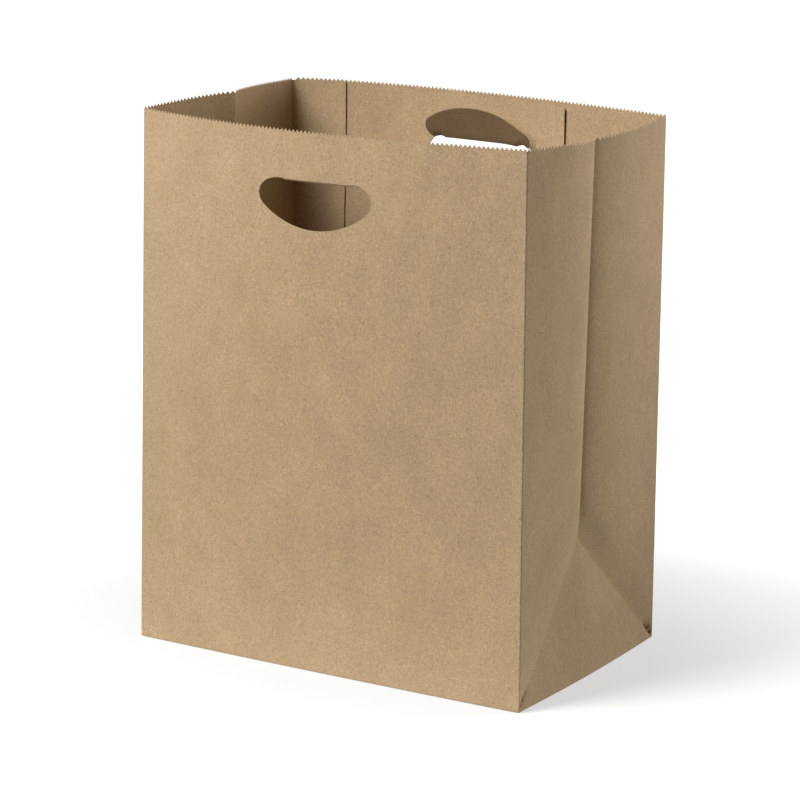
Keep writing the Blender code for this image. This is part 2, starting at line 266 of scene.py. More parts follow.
def skewed(share, skew):
    """A bow of height 1 across a wall, with its peak moved by the two exponents."""
    rise, fall = skew
    share = np.clip(share, 0.0, 1.0)
    peak = rise / (rise + fall)
    return share**rise * (1 - share) ** fall / (peak**rise * (1 - peak) ** fall)


def smooth(value, low, high):
    """0 below low, 1 above high, and a smooth rise between them."""
    share = np.clip((value - low) / (high - low), 0.0, 1.0)
    return share * share * (3 - 2 * share)


def ripple(seed, x, v):
    """Slow waves of slack paper, about 1 high."""
    chance = np.random.default_rng(seed)
    total = np.zeros(np.shape(x))
    for _ in range(RIPPLE_WAVES):
        turn = chance.uniform(0.0, math.pi)
        size = chance.uniform(*RIPPLE_SIZES)
        phase = chance.uniform(0.0, 2 * math.pi)
        run = x * math.cos(turn) + v * math.sin(turn)
        total += size / RIPPLE_SIZES[1] * np.sin(2 * math.pi * run / size + phase)
    return total / math.sqrt(RIPPLE_WAVES)


def wall_slack(seed, patch_x, x, v):
    """How far a wall swells outwards, x from its left or right edge: ripples and the patch inside."""
    edges = smooth(x, 0.0, RIPPLE_FADE) * smooth(WIDTH - x, 0.0, RIPPLE_FADE)
    ends = smooth(v, 0.0, RIPPLE_FADE) * (1 - RIPPLE_LOSS * smooth(v, HEIGHT - RIPPLE_FADE, HEIGHT))
    half = PATCH_SHOW_WIDTH / 2
    aside = np.abs(x - patch_x) - PATCH_WIDTH / 2
    under = HEIGHT - PATCH_DROP - PATCH_HEIGHT - v
    over_patch = (1 - smooth(aside, -half, half)) * (1 - smooth(under, -half, half))
    return RIPPLE_HEIGHT * ripple(seed, x, v) * edges * ends + PATCH_SHOW * over_patch


def front_slack(x, v):
    """How far the front wall swells outwards, x from its left edge."""
    along_wall = smooth(x, *BEND_FROM) * (1 - smooth(x, *BEND_TO))
    away = np.sqrt((v - BEND_LEVEL) ** 2 + BEND_ROUND**2)
    bend = BEND_HEIGHT * np.exp(-away / BEND_LENGTH) * along_wall
    share = (RIDGE_TOP[1] - v) / (RIDGE_TOP[1] - RIDGE_FOOT[1])
    middle = RIDGE_TOP[0] + (RIDGE_FOOT[0] - RIDGE_TOP[0]) * np.clip(share, 0.0, 1.0)
    across_ridge = np.exp(-(((x - middle) / RIDGE_WIDTH) ** 2))
    ridge = RIDGE_HEIGHT * across_ridge * (1 - smooth(share, *RIDGE_FADE))
    return wall_slack(RIPPLE_SEEDS[0], WIDTH / 2 + FRONT_PATCH_X, x, v) + bend + ridge


def back_slack(x, v):
    """How far the back wall swells outwards, x from its edge at +X."""
    return wall_slack(RIPPLE_SEEDS[1], WIDTH / 2 - BACK_PATCH_X, x, v)


def corner(side_x, side_y, lean):
    """A corner's lowest and highest points."""
    foot = np.array((side_x * WIDTH / 2, side_y * DEPTH / 2, BOTTOM_Z))
    return foot, foot + np.array(lean) + np.array((0, 0, HEIGHT))


FRONT_LEFT = corner(-1, -1, FRONT_LEFT_LEAN)
FRONT_RIGHT = corner(1, -1, FRONT_RIGHT_LEAN)
BACK_RIGHT = corner(1, 1, BACK_RIGHT_LEAN)
BACK_LEFT = corner(-1, 1, BACK_LEFT_LEAN)


def wall_point(start, end, outward, bow, skew, slack, level, u, v):
    """Points of the front or back wall and of its bottom flap, u from the corner called start."""
    across = u / WIDTH
    up = np.maximum(v, 0.0) / HEIGHT
    foot = along(start[0], end[0], across)
    rim = along(start[1], end[1], across)
    flat = foot * (1 - up)[..., None] + rim * up[..., None]
    inner = np.clip(across, 0.0, 1.0)
    rim_bow = bow * skewed(inner, skew) * np.sin(math.pi / 2 * np.minimum(up, 1.0))
    foot_bow = FOOT_BOW * 4 * inner * (1 - inner) * np.maximum(1 - up, 0.0)
    under = np.minimum(v, 0.0)
    flat[..., 1] += outward * (rim_bow + foot_bow + under + slack(u, np.maximum(v, 0.0)))
    flat[..., 2] += (level - BOTTOM_Z) * smooth(-v, -LEVEL_CHANGE, 0.0)
    return flat


def crease_ends(side, inset, shift, dip):
    """The apex of a gusset's bottom triangle, and the top of the gusset's centre crease."""
    apex = np.array((side * (WIDTH / 2 - APEX_INSET), 0, BOTTOM_Z + APEX_HEIGHT))
    top = np.array((side * (WIDTH / 2 - inset), shift, BOTTOM_Z + HEIGHT - dip))
    return apex, top


LEFT_CREASE = crease_ends(-1, LEFT_CREASE_INSET, LEFT_CREASE_SHIFT, LEFT_CREASE_DIP)
RIGHT_CREASE = crease_ends(1, RIGHT_CREASE_INSET, RIGHT_CREASE_SHIFT, RIGHT_CREASE_DIP)


def half_gusset_point(edge, crease, side, swell, level, u, v):
    """Points of half a gusset, u from its corner to the centre crease.

    Above the 45 degree fold the half is ruled from that fold up to the rim. Below the fold it is
    half of the triangle that stands on the bottom, and below v = 0 it is half of a side flap.
    """
    half = DEPTH / 2
    apex, top = crease
    across = u / half
    fold = along(edge[0], apex, across)
    rim = along(edge[1], top, across)
    rim[..., 0] += side * GUSSET_BULGE * np.sin(math.pi * np.clip(across, 0.0, 1.0))
    rise = ((v - u) / (HEIGHT - u))[..., None]
    above = fold * (1 - rise) + rim * rise
    inner = np.clip(across, 0.0, 1.0)
    height = np.clip(rise[..., 0], 0.0, 1.0)
    rounded = swell * np.sin(math.pi * inner) * height
    pinch = RIGHT_PINCH if side > 0 else LEFT_PINCH
    pinched = pinch * skewed(inner, PINCH_SKEW) * (1 - PINCH_LOSS * height)
    above[..., 0] += side * (rounded + pinched) * smooth(height, 0.0, SWELL_START)

    middle = np.array((side * WIDTH / 2, 0, BOTTOM_Z))
    low = np.maximum(v, 0.0)
    below = (
        edge[0] * (1 - across)[..., None]
        + middle * ((u - low) / half)[..., None]
        + apex * (low / half)[..., None]
    )
    foot = np.clip((u - low) / half, 0.0, 1.0)
    below[..., 0] += side * GUSSET_FOOT_BOW * np.sin(math.pi / 2 * foot)
    below[..., 0] += side * np.minimum(v, 0.0)
    below[..., 2] += (level - BOTTOM_Z) * smooth(-v, -LEVEL_CHANGE, 0.0)
    point = np.where((v >= u)[..., None], above, below)
    away = (v - u - NIP_WIDTH) / NIP_WIDTH
    ends = smooth(u, 0.0, NIP_LENGTH / 5) * (1 - smooth(u, NIP_LENGTH / 3, NIP_LENGTH))
    nip = np.exp(-(away**2)) * ends
    point[..., 0] -= side * NIP_DEPTH * nip
    return point


def gusset_point(first, second, crease, side, level, u, v):
    """Points of a gusset, u from the corner called first to the one called second."""
    swells = (BACK_HALF_SWELL, FRONT_HALF_SWELL)[:: -side]
    near = half_gusset_point(first, crease, side, swells[0], level, u, v)
    far = half_gusset_point(second, crease, side, swells[1], level, DEPTH - u, v)
    return np.where((u <= DEPTH / 2)[..., None], near, far)


def foot_level(u):
    """How high the sheet's foot lies, which changes from flap to flap near each corner."""
    ends = [LEFT_START, FRONT_START, RIGHT_START, BACK_START, BACK_END]
    levels = [BACK_FLAP_Z, SIDE_FLAP_Z, FRONT_FLAP_Z, SIDE_FLAP_Z, BACK_FLAP_Z, SIDE_FLAP_Z]
    height = np.full(np.shape(u), levels[0])
    for end, low, high in zip(ends, levels, levels[1:]):
        height = height + (high - low) * smooth(u, end - LEVEL_CHANGE, end + LEVEL_CHANGE)
    return height


def sheet_point(u, v):
    """Where points of the flat sheet lie on the folded bag, with sharp folds."""
    level = foot_level(u)
    loose = SEAM_LOOSE * smooth(-u, SEAM_TAB - SEAM_LOOSE_WIDTH, SEAM_TAB) * smooth(v, *SEAM_LOOSE_RISE)
    back_wall = (BACK_RIGHT, BACK_LEFT, 1, BACK_BOW, BACK_BOW_SKEW, back_slack)
    front_wall = (FRONT_LEFT, FRONT_RIGHT, -1, FRONT_BOW, FRONT_BOW_SKEW, front_slack)
    tab = wall_point(*back_wall, BOTTOM_Z, WIDTH + u, v)
    tab[..., 1] -= PATCH_GAP * smooth(-u, 0.0, SEAM_STEP) + loose
    left = gusset_point(BACK_LEFT, FRONT_LEFT, LEFT_CREASE, -1, level, u - LEFT_START, v)
    front = wall_point(*front_wall, level, u - FRONT_START, v)
    right = gusset_point(FRONT_RIGHT, BACK_RIGHT, RIGHT_CREASE, 1, level, u - RIGHT_START, v)
    back = wall_point(*back_wall, level, u - BACK_START, v)
    point = tab
    panels = ((LEFT_START, left), (FRONT_START, front), (RIGHT_START, right), (BACK_START, back))
    for start, panel in panels:
        point = np.where((u >= start)[..., None], panel, point)
    return point


def paper_point(u, v):
    """Where points of the sheet lie, with each fold rounded by averaging over its radius."""
    u = np.asarray(u, float)
    v = np.asarray(v, float)
    reach = FOLD_RADIUS * np.clip(1 + v / FOLD_RADIUS, 0.0, 1.0)
    total = np.zeros((*u.shape, 3))
    samples = np.linspace(-1, 1, FOLD_SAMPLES)
    for du in samples:
        for dv in samples:
            total += sheet_point(u + du * reach, v + dv * FOLD_RADIUS)
    return total / len(samples) ** 2


def steps(start, end, step):
    """Even values from start to end, no further apart than step."""
    count = max(1, math.ceil(abs(end - start) / step - 1e-6))
    return [start + (end - start) * i / count for i in range(count + 1)]


def handle_outline(end, inset=0.0):
    """Half a handle's edge below its hinge, as (x, depth) points from the hinge's end to the middle."""
    end_radius, shoulder = end
    end_x = HANDLE_HALF - end_radius
    end_y = end_radius
    lower = (end_x**2 + (HANDLE_HEIGHT - end_y) ** 2 - end_y**2) / (2 * (HANDLE_HEIGHT - 2 * end_y))
    lower_y = HANDLE_HEIGHT - lower
    meet = math.atan2(end_y - lower_y, end_x)
    ends = steps(-math.pi / 2, meet, END_STEP)
    sweep = steps(meet, math.pi / 2, LOW_EDGE_STEP / lower)
    radius = end_y - inset
    upper = radius + shoulder - end_radius
    round_end = []
    for a in ends:
        reach = upper if a < 0.0 else radius
        round_end.append((end_x + radius - reach * (1 - math.cos(a)), end_y + radius * math.sin(a)))
    radius = lower - inset
    low_edge = [(radius * math.cos(a), lower_y + radius * math.sin(a)) for a in sweep[1:]]
    return round_end + low_edge


def hinge_points(ends):
    """The hinge from low x to high x, without its ends."""
    low = -HANDLE_HALF + ends[0][1]
    high = HANDLE_HALF - ends[1][1]
    return [(x, 0.0) for x in steps(low, high, HINGE_STEP)[1:-1]]


def closed_outline(low_half, high_half, hinge):
    """A whole outline from its two halves, each drawn for positive x, and the points on its hinge."""
    return high_half + [(-x, y) for x, y in reversed(low_half[:-1])] + hinge


def contains(outline, points):
    """Whether each flat point lies inside a closed outline."""
    x, y = points.T
    inside = np.zeros(len(points), bool)
    for (ax, ay), (bx, by) in zip(outline, outline[1:] + outline[:1]):
        if ay != by:
            crossed = ((ay > y) != (by > y)) & (x < (bx - ax) * (y - ay) / (by - ay) + ax)
            inside ^= crossed
    return inside


def flat_mesh(outline, holes=(), creases=(), inner=()):
    """Triangles that fill a flat outline, leave its holes open and have edges along its creases."""
    points = []
    edges = []
    for loop in (outline, *holes):
        first = len(points)
        points += [Vector(point) for point in loop]
        edges += [(first + i, first + (i + 1) % len(loop)) for i in range(len(loop))]
    for start, end in creases:
        edges.append((len(points), len(points) + 1))
        points += [Vector(start), Vector(end)]
    points += [Vector(point) for point in inner]
    flat, _, faces, *_ = delaunay_2d_cdt(points, edges, [], 0, 1e-7)
    flat = np.array([tuple(point) for point in flat])
    faces = np.array([tuple(face) for face in faces])
    middles = flat[faces].mean(axis=1)
    kept = contains(outline, middles)
    for hole in holes:
        kept &= ~contains(hole, middles)
    return flat, faces[kept]


def tooth_wave(phase):
    """The rounded zigzag of a serrated knife, from -1 to 1."""
    return (math.cos(phase) + math.cos(3 * phase) / 9) / (1 + 1 / 9)


def toothed(start, end, level, pitch=TOOTH_PITCH, depth=TOOTH_DEPTH):
    """The serrated edge from start to end, as (u, v) points, with whole teeth."""
    count = round((end - start) / pitch)
    places = steps(start, end, (end - start) / (TOOTH_POINTS * count))
    phases = [2 * math.pi * i / TOOTH_POINTS for i in range(len(places))]
    return [(u, level - depth / 2 * tooth_wave(phase)) for u, phase in zip(places, phases)]


def tab_rim():
    """The serrated top of the seam tab, cut in step with the back wall that it's glued to."""
    wall = toothed(BACK_START, SHEET_END, HEIGHT)
    points = [(u - BACK_END, v) for u, v in wall if u - BACK_END > -SEAM_TAB + PAPER / 2]
    return [(-SEAM_TAB, HEIGHT), *points, (LEFT_START, HEIGHT)]


def sheet_outline():
    """The cut edge of the flat sheet, counter-clockwise from the foot of the seam tab."""
    reach = FLAP_REACH
    outline = [(-SEAM_TAB, SEAM_TAB_LIFT), (LEFT_START, SEAM_TAB_LIFT)]
    for start in (LEFT_START, RIGHT_START):
        end = start + DEPTH
        wall_end = end + WIDTH
        inset = FLAP_SIDE_INSET
        rows = steps(inset, reach, FLAP_STEP)[:-1]
        outline += [(start, 0.0)] + [(start + inset, -v) for v in rows]
        outline += [(u, -reach + v) for u, v in toothed(start + inset, end - inset, 0.0)]
        outline += [(end - inset, -v) for v in reversed(rows)] + [(end, 0.0)]
        outline += [(end + v, -v) for v in steps(0.0, reach, FLAP_STEP)[1:-1]]
        outline += [(u, -reach + v) for u, v in toothed(end + reach, wall_end - reach, 0.0)]
        last = reversed(steps(0.0, reach, FLAP_STEP)[1:-1])
        outline += [(wall_end - v, -v) for v in last]
    outline = [point for point in outline if point[0] < SHEET_END or point[1] < -SEAM_SHORT]
    outline.append((SHEET_END, -SEAM_SHORT))
    outline += [(SHEET_END, v) for v in steps(0.0, HEIGHT, STEP)[:-1]]
    gusset = (GUSSET_TOOTH_PITCH, GUSSET_TOOTH_DEPTH)
    rim = tab_rim()[:-1]
    rim += toothed(LEFT_START, LEFT_MIDDLE, HEIGHT, *gusset)[:-1]
    rim += toothed(LEFT_MIDDLE, FRONT_START, HEIGHT, *gusset)[:-1]
    rim += toothed(FRONT_START, RIGHT_START, HEIGHT)[:-1]
    rim += toothed(RIGHT_START, RIGHT_MIDDLE, HEIGHT, *gusset)[:-1]
    rim += toothed(RIGHT_MIDDLE, BACK_START, HEIGHT, *gusset)[:-1]
    rim += toothed(BACK_START, SHEET_END, HEIGHT)
    outline += reversed(rim)
    rim_end = HEIGHT - TOOTH_DEPTH / 2
    outline += [(-SEAM_TAB, v) for v in reversed(steps(SEAM_TAB_LIFT, rim_end, STEP)[1:-1])]
    return outline


def fold_columns():
    """Columns beside each upright fold, so that its round is smooth."""
    folds = [LEFT_START, LEFT_MIDDLE, FRONT_START, RIGHT_START, RIGHT_MIDDLE, BACK_START]
    near = [side * line * FOLD_RADIUS for line in FOLD_LINES for side in (-1, 1)]
    return [fold + offset for fold in folds for offset in near], folds


def sheet_inner_points():
    """Points inside the sheet: an even grid on the walls, with closer lines beside the folds."""
    beside, folds = fold_columns()
    columns = [-SEAM_TAB + offset for offset in TAB_COLUMNS]
    ends = [-SEAM_TAB, *folds, SHEET_END]
    for start, end in zip(ends, ends[1:]):
        columns += steps(start, end, STEP)[1:-1]
    clear = FOLD_LINES[-1] * FOLD_RADIUS + STEP / 3
    columns = [u for u in columns if all(abs(u - fold) > clear for fold in folds)] + folds
    rows = steps(0.0, HEIGHT - RIM_BAND, STEP)
    foot = FOLD_LINES[-1] * FOLD_RADIUS
    rows = [v for v in rows if v > foot + STEP / 3]
    rows += [0.0] + [line * FOLD_RADIUS for line in FOLD_LINES]
    points = [(u, v) for u in columns + beside for v in rows]
    points = [(u, v) for u, v in points if u > LEFT_START or v > SEAM_TAB_LIFT + STEP / 3]

    half = DEPTH / 2
    both_sides = (*[-line for line in reversed(FOLD_LINES)], 0.0, *FOLD_LINES)
    for start in (LEFT_START, RIGHT_START):
        low, high = start, start + DEPTH
        middle = start + half
        limit = FOLD_LINES[-1] * FOLD_RADIUS * math.sqrt(2)

        def off_fold(u, v):
            across = min(u - low, high - u)
            return not (low < u < high) or abs(v - across) > limit or abs(u - middle) < 1e-6

        points = [(u, v) for u, v in points if off_fold(u, v)]
        for distance in steps(FOLD_RADIUS * 3, half - FOLD_RADIUS * 3, STEP):
            for line in both_sides:
                offset = line * FOLD_RADIUS * math.sqrt(2)
                points += [(low + distance, distance + offset), (high - distance, distance + offset)]
    points += flap_inner_points()
    return points


def flap_inner_points():
    """Points inside the four bottom flaps: close rows beside the fold and coarse ones beyond."""
    points = []
    near = [-line * FOLD_RADIUS for line in FOLD_LINES]
    far = [-v for v in steps(0.0, FLAP_REACH, FLAP_STEP)[1:-1]]
    for start in (LEFT_START, RIGHT_START):
        end = start + DEPTH
        for v in near:
            points += [(u, v) for u in steps(start, end, STEP)[1:-1]]
            points += [(u, v) for u in steps(end, end + WIDTH, STEP)[2:-2]]
        for v in far:
            points += [(u, v) for u in steps(start, end, FLAP_STEP)[1:-1]]
            points += [(u, v) for u in steps(end - v, end + WIDTH + v, FLAP_STEP)[1:-1]]
    return [(u, v) for u, v in points if u < SHEET_END - SHEET_END_BAND]


def sheet_creases():
    """The folds that triangles may not cross."""
    top = HEIGHT - TOOTH_DEPTH
    lines = [((u, 0.0), (u, top)) for u in (FRONT_START, RIGHT_START, BACK_START)]
    lines.append(((LEFT_START, SEAM_TAB_LIFT), (LEFT_START, top)))
    lines.append(((LEFT_START, 0.0), (SHEET_END, 0.0)))
    for start in (LEFT_START, RIGHT_START):
        apex = (start + DEPTH / 2, DEPTH / 2)
        lines += [((start, 0.0), apex), ((start + DEPTH, 0.0), apex)]
        lines.append((apex, (start + DEPTH / 2, top)))
    return lines


def handle_hole(handle, ends):
    """The outline of a handle on the sheet, from its ends at low u and at high u."""
    outline = closed_outline(handle_outline(ends[0]), handle_outline(ends[1]), hinge_points(ends))
    return [(handle[0] + x, handle[1] - depth) for x, depth in outline]


def clear_of(hole, points, margin):
    """The points that don't lie in or close round a hole."""
    middle = np.mean(hole, axis=0)
    from_middle = [np.array(point) - middle for point in hole]
    grown = [tuple(middle + away * (1 + margin / np.hypot(*away))) for away in from_middle]
    inside = contains(grown, np.array(points))
    return [point for point, hidden in zip(points, inside) if not hidden]


def flap_mesh(ends):
    """The flat paper cut out of a handle, as (x, depth) points and triangles."""
    rolled = HINGE_RADIUS * (math.pi - FLAP_LEAN)
    low, high = [[(HANDLE_HALF - end[1], 0.0)] + handle_outline(end, CUT_WIDTH) for end in ends]
    outline = closed_outline(low, high, hinge_points(ends))
    xs = [x for x, _ in hinge_points(ends)]
    wide = steps(-WIDTH / 5, WIDTH / 5, STEP)
    inner = [(x, s) for s in steps(0, rolled, rolled / 10)[1:] for x in xs]
    inner += [(x, s) for s in steps(rolled, HANDLE_HEIGHT, STEP)[1:] for x in wide]
    narrower = [(x * FLAP_END_SHRINK, s) for x, s in outline]
    held = contains(narrower, np.array(inner))
    lowest = HANDLE_HEIGHT - FLAP_EDGE_BAND
    inner = [point for point, kept in zip(inner, held) if kept and point[1] < lowest]
    return flat_mesh(outline, inner=inner)


def flap_point(hinge_at, inward, radius, shorter, lift, sag, x, depth):
    """Points of a handle flap, which rolls round its fold and leans up inside the wall.

    hinge_at gives the hinge's points for places along it. lift is how much further the flap stands
    off the wall at its +X end, and sag is how far it hangs down there.
    """
    at_end = smooth(x * inward, FLAP_LIFT_START, HANDLE_HALF)
    turn = math.pi - FLAP_LEAN - lift * at_end
    reach = depth * shorter
    rolled = radius * turn
    angle = np.minimum(reach, rolled) / radius
    straight = np.maximum(reach - rolled, 0.0)
    step_in = radius * (1 - np.cos(angle)) + straight * np.sin(turn)
    step_down = radius * np.sin(angle) + straight * np.cos(turn)
    point = hinge_at(x)
    point[..., 1] += inward * step_in
    point[..., 2] -= step_down + sag * at_end * np.minimum(reach / rolled, 1.0)
    return point


def mesh_from(parts):
    """A mesh from (points, triangles) parts, with the points that meet made one."""
    mesh = bmesh.new()
    for points, faces in parts:
        verts = [mesh.verts.new(point) for point in points]
        for face in faces:
            mesh.faces.new([verts[i] for i in face])
    loose = [vert for vert in mesh.verts if not vert.link_faces]
    bmesh.ops.delete(mesh, geom=loose, context="VERTS")
    bmesh.ops.remove_doubles(mesh, verts=mesh.verts, dist=WELD)
    return mesh


def paper_object(name, mesh, material, thickness):
    """An object of paper this thick, smooth over its folds and sharp along its cut edges."""
    data = bpy.data.meshes.new(name)
    mesh.to_mesh(data)
    mesh.free()
    obj = bpy.data.objects.new(name, data)
    bpy.context.scene.collection.objects.link(obj)
    solid = obj.modifiers.new("Paper thickness", "SOLIDIFY")
    solid.thickness = thickness
    solid.offset = 0.0
    graph = bpy.context.evaluated_depsgraph_get()
    thick = bpy.data.meshes.new_from_object(obj.evaluated_get(graph))
    obj.modifiers.clear()
    obj.data = thick
    bpy.data.meshes.remove(data)
    thick.name = name
    thick.shade_smooth()
    thick.set_sharp_from_angle(angle=SHARP_FOLD)
    thick.materials.append(material)
    return obj


def add_handle_flap(parts, handle, ends, inward, offset, lift, sag):
    """Adds a handle's folded flap to a sheet or, offset inwards, to a patch."""
    flat, faces = flap_mesh(ends)
    radius = HINGE_RADIUS - offset
    shorter = 1 - offset * (math.pi - FLAP_LEAN) / HANDLE_HEIGHT

    def hinge_at(x):
        point = paper_point(handle[0] + x, np.full(np.shape(x), handle[1]))
        point[..., 1] += inward * offset
        return point

    points = flap_point(hinge_at, inward, radius, shorter, lift, sag, flat[:, 0], flat[:, 1])
    parts.append((points, faces[:, ::-1]))


def make_sheet(material):
    """The whole folded sheet: walls, gussets, seam tab, bottom flaps and handle flaps."""
    holes = [handle_hole(FRONT_HANDLE, FRONT_HANDLE_ENDS), handle_hole(BACK_HANDLE, BACK_HANDLE_ENDS)]
    inner = sheet_inner_points()
    for hole in holes:
        inner = clear_of(hole, inner, HOLE_BAND)
    flat, faces = flat_mesh(sheet_outline(), holes, sheet_creases(), inner)
    parts = [(paper_point(flat[:, 0], flat[:, 1]), faces)]
    add_handle_flap(parts, FRONT_HANDLE, FRONT_HANDLE_ENDS, 1, 0.0, FRONT_FLAP_LIFT, 0.0)
    add_handle_flap(parts, BACK_HANDLE, BACK_HANDLE_ENDS, -1, 0.0, BACK_FLAP_LIFT, BACK_FLAP_SAG)
    return paper_object("bag_sheet", mesh_from(parts), material, PAPER)


def make_patch(name, handle, ends, centre_u, inward, lift, sag, curl, material):
    """A reinforcing patch inside a wall, with its own handle hole and folded flap.

    curl is how far its edge at low u stands off the wall at the top.
    """
    left = centre_u - PATCH_WIDTH / 2
    right = centre_u + PATCH_WIDTH / 2
    top = HEIGHT - PATCH_DROP
    low = top - PATCH_HEIGHT
    across = steps(left, right, STEP)
    up = steps(low, top, STEP)
    outline = [(u, low) for u in across] + [(right, v) for v in up[1:]]
    outline += [(u, top) for u in reversed(across[:-1])] + [(left, v) for v in reversed(up[1:-1])]
    hole = handle_hole(handle, ends)
    inner = clear_of(hole, [(u, v) for u in across[1:-1] for v in up[1:-1]], HOLE_BAND)
    flat, faces = flat_mesh(outline, [hole], inner=inner)
    points = paper_point(flat[:, 0], flat[:, 1])
    at_edge = smooth(left + PATCH_CURL_WIDTH - flat[:, 0], 0.0, PATCH_CURL_WIDTH)
    at_top = smooth(flat[:, 1], low, top)
    points[..., 1] += inward * (PATCH_GAP + curl * at_edge * at_top)
    parts = [(points, faces)]
    add_handle_flap(parts, handle, ends, inward, PATCH_GAP, lift, sag)
    return paper_object(name, mesh_from(parts), material, PAPER)


def kraft(name, colour):
    """Unbleached kraft paper: cloudy pulp, fine fibres along the web, flecks and a soft tooth."""
    material = bpy.data.materials.new(name)
    material.use_nodes = True
    nodes = material.node_tree.nodes
    link = material.node_tree.links.new
    shader = nodes["Principled BSDF"]
    shader.inputs["Roughness"].default_value = PAPER_ROUGHNESS
    shader.inputs["Specular IOR Level"].default_value = PAPER_SPECULAR
    where = nodes.new("ShaderNodeTexCoord")

    def noise(scale, stretch, detail, rough):
        mapping = nodes.new("ShaderNodeMapping")
        mapping.inputs["Scale"].default_value = (scale, scale, scale * stretch)
        link(where.outputs["Object"], mapping.inputs["Vector"])
        texture = nodes.new("ShaderNodeTexNoise")
        texture.inputs["Scale"].default_value = 1.0
        texture.inputs["Detail"].default_value = detail
        texture.inputs["Roughness"].default_value = rough
        link(mapping.outputs["Vector"], texture.inputs["Vector"])
        return texture.outputs["Fac"]

    def scaled(source, low, high, out_low, out_high):
        remap = nodes.new("ShaderNodeMapRange")
        remap.inputs["From Min"].default_value = low
        remap.inputs["From Max"].default_value = high
        remap.inputs["To Min"].default_value = out_low
        remap.inputs["To Max"].default_value = out_high
        link(source, remap.inputs["Value"])
        return remap.outputs["Result"]

    def product(first, second):
        multiply = nodes.new("ShaderNodeMath")
        multiply.operation = "MULTIPLY"
        link(first, multiply.inputs[0])
        link(second, multiply.inputs[1])
        return multiply.outputs["Value"]

    cloud = scaled(noise(*CLOUD_NOISE), *CLOUD_TONES)
    grain = scaled(noise(*GRAIN_NOISE), *GRAIN_TONES)
    fibre = scaled(noise(*FIBRE_NOISE), *FIBRE_TONES)
    fleck = scaled(noise(*FLECK_NOISE), *FLECK_TONES)
    tone = product(product(cloud, grain), product(fibre, fleck))
    paint = nodes.new("ShaderNodeMix")
    paint.data_type = "RGBA"
    paint.blend_type = "MULTIPLY"
    paint.inputs["Factor"].default_value = 1.0
    paint.inputs["A"].default_value = (*colour, 1.0)
    link(tone, paint.inputs["B"])
    link(paint.outputs["Result"], shader.inputs["Base Color"])

    bump = nodes.new("ShaderNodeBump")
    bump.inputs["Strength"].default_value = TOOTH_STRENGTH
    bump.inputs["Distance"].default_value = TOOTH_HEIGHT
    link(product(grain, fibre), bump.inputs["Height"])
    link(bump.outputs["Normal"], shader.inputs["Normal"])
    return material


def direction(azimuth, elevation):
    """The level turn and the height in degrees as a direction away from the bag."""
    turn, tip = math.radians(azimuth), math.radians(elevation)
    return Vector((math.sin(turn) * math.cos(tip), -math.cos(turn) * math.cos(tip), math.sin(tip)))


def make_camera():
    """The photograph's view: azimuth turns towards +X, and the roll tips the picture."""
    turn = math.radians(CAMERA_AZIMUTH)
    back = direction(CAMERA_AZIMUTH, CAMERA_ELEVATION)
    right = Vector((math.cos(turn), math.sin(turn), 0.0))
    up = back.cross(right)
    across = right * math.cos(CAMERA_ROLL) + up * math.sin(CAMERA_ROLL)
    upward = up * math.cos(CAMERA_ROLL) - right * math.sin(CAMERA_ROLL)
    data = bpy.data.cameras.new("camera")
    data.lens = CAMERA_LENS
    data.sensor_width = CAMERA_SENSOR
    camera = bpy.data.objects.new("camera", data)
    at = across * CAMERA_AIM[0] + upward * CAMERA_AIM[1] + back * CAMERA_DISTANCE
    camera.matrix_world = Matrix.Translation(at) @ Matrix((across, upward, back)).transposed().to_4x4()
    bpy.context.scene.collection.objects.link(camera)
    bpy.context.scene.camera = camera


def add_lamp(name, data, azimuth, elevation, distance):
    """Puts a lamp at this distance from the bag's middle, facing it."""
    towards = direction(azimuth, elevation)
    lamp = bpy.data.objects.new(name, data)
    lamp.location = Vector((0.0, 0.0, HEIGHT / 2)) + towards * distance
    lamp.rotation_euler = towards.to_track_quat("Z", "Y").to_euler()
    bpy.context.scene.collection.objects.link(lamp)


def make_lamps():
    """Soft light from the upper left, and a low light from behind on the right."""
    for name, azimuth, elevation, strength, spread in FAR_LAMPS:
        data = bpy.data.lights.new(name, "SUN")
        data.energy = strength
        data.angle = math.radians(spread)
        add_lamp(name, data, azimuth, elevation, 1.0)
    for name, azimuth, elevation, distance, size, power in SOFT_BOXES:
        data = bpy.data.lights.new(name, "AREA")
        data.shape = "SQUARE"
        data.size = size
        data.energy = power
        add_lamp(name, data, azimuth, elevation, distance)


def math_node(nodes, link, operation, first, second):
    """The result of a sum on two sockets or plain numbers."""
    node = nodes.new("ShaderNodeMath")
    node.operation = operation
    for socket, value in zip(node.inputs, (first, second)):
        if isinstance(value, float):
            socket.default_value = value
        else:
            link(value, socket)
    return node.outputs["Value"]


